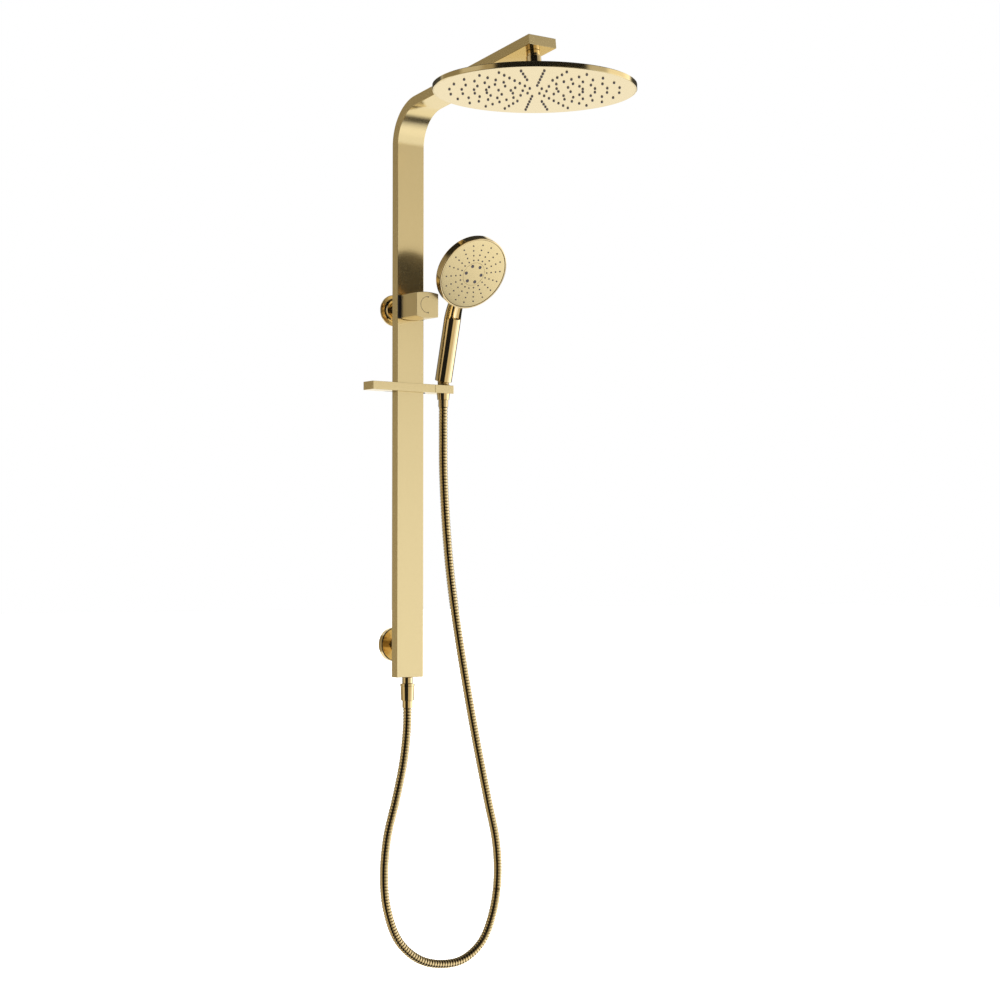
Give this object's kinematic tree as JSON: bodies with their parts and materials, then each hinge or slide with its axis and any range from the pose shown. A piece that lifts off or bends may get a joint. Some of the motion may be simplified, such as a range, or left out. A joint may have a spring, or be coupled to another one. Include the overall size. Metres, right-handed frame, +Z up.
{
  "type": "rainfall shower column",
  "caption": "Wall-mounted rainfall shower column in pale brushed brass: flat column and arm, 300 mm overhead head, diverter knob, slider bar with round handset and metal hose.",
  "frame": {"origin": "on the wall plane, on the axis of the diverter and of the upper wall flange", "axes": "+X to the user's right, +Y into the wall, +Z up along the column"},
  "size_m": [0.3311, 0.5245, 1.41],
  "materials": {
    "brushed_brass": "brushed satin, pale gold",
    "polished_brass": "polished, pale gold",
    "raw_brass": "machined, unseen",
    "hose_metal": "pale gold coated spiral steel",
    "dark_plate": "dark, glossy",
    "steel": "machined",
    "rubber": "matte",
    "plastic": "moulded",
    "nozzle_rubber": "matte dark grey"
  },
  "bodies": {
    "column": {"column_rail": "brushed_brass", "column_bottom_plug": "raw_brass", "outlet_spigot": "polished_brass", "head_feed_tube": "plastic", "hand_feed_tube": "plastic", "upper_wall_flange": "polished_brass", "upper_wall_seal": "rubber", "lower_wall_flange": "polished_brass", "wall_bracket": "raw_brass", "wall_screw_left": "steel", "wall_screw_right": "steel", "anchor_stud": "steel", "anchor_nut": "steel", "inlet_strainer": "steel", "diverter_housing": "polished_brass", "diverter_cartridge": "plastic", "cartridge_o_ring": "rubber", "cartridge_nut": "raw_brass", "diverter_base_plate": "dark_plate", "hose_tube_lower": "hose_metal", "hose_tube_riser": "hose_metal", "hose_nut_bottom": "polished_brass", "hose_washer_bottom": "rubber", "hose_ferrule_bottom": "polished_brass", "ball_stem": "polished_brass"},
    "knob": {"diverter_knob": "brushed_brass", "diverter_spindle": "raw_brass", "knob_grub_screw": "steel"},
    "slider": {"slider_bar": "brushed_brass", "slider_back_plate": "raw_brass", "plate_screw_left": "steel", "plate_screw_right": "steel", "glide_pad_left": "plastic", "glide_pad_right": "plastic", "brake_pad": "plastic", "brake_spring": "steel"},
    "holder": {"handset_holder": "brushed_brass", "swivel_shaft": "steel", "friction_washer": "rubber", "hose_tube_top": "hose_metal"},
    "hose_end": {"hose_ferrule_top": "polished_brass"},
    "handset": {"handset_body": "polished_brass", "handset_inlet": "raw_brass", "handset_waterway": "plastic", "handset_spray_disc": "plastic", "hose_cone_nut": "polished_brass", "hose_washer_top": "rubber", "check_valve": "plastic"},
    "spray_face": {"handset_face_plate": "brushed_brass", "handset_nozzle_mat": "nozzle_rubber", "handset_centre_cap": "brushed_brass"},
    "head_seat": {"ball_seat_ring": "plastic"},
    "head": {"ball_retaining_nut": "polished_brass", "head_top_shell": "brushed_brass", "head_face_plate": "brushed_brass", "head_nozzle_mat": "nozzle_rubber", "head_gasket": "rubber"}
  },
  "joints": [
    {"name": "diverter_turn", "type": "hinge", "parent": "column", "child": "knob", "pos_m": [0, -0.054, 0], "axis": [0, 1, 0], "range_deg": [-90, 90]},
    {"name": "slider_slide", "type": "slide", "parent": "column", "child": "slider", "axis": [0, 0, 1], "range_m": [-0.375, 0.09], "deforming": ["hose_tube_riser"]},
    {"name": "holder_tilt", "type": "hinge", "parent": "slider", "child": "holder", "pos_m": [0.041, -0.0458, -0.1268], "axis": [1, 0, 0], "range_deg": [0, 40], "deforming": ["hose_tube_top"]},
    {"name": "handset_lift", "type": "slide", "parent": "holder", "child": "hose_end", "axis": [0, 0, 1], "range_m": [0, 0.02], "deforming": ["hose_tube_top"]},
    {"name": "handset_turn", "type": "hinge", "parent": "hose_end", "child": "handset", "pos_m": [0.065, -0.047, -0.1268], "axis": [0, 0, 1], "range_deg": [0, 60]},
    {"name": "spray_select", "type": "hinge", "parent": "handset", "child": "spray_face", "pos_m": [0.065, -0.13, 0.05], "axis": [0, -0.8508, -0.5255], "range_deg": [-40, 40]},
    {"name": "head_roll", "type": "hinge", "parent": "column", "child": "head_seat", "pos_m": [0, -0.3745, 0.312], "axis": [0, 1, 0], "range_deg": [-8, 8]},
    {"name": "head_tilt", "type": "hinge", "parent": "head_seat", "child": "head", "pos_m": [0, -0.3745, 0.312], "axis": [1, 0, 0], "range_deg": [-8, 8]}
  ]
}
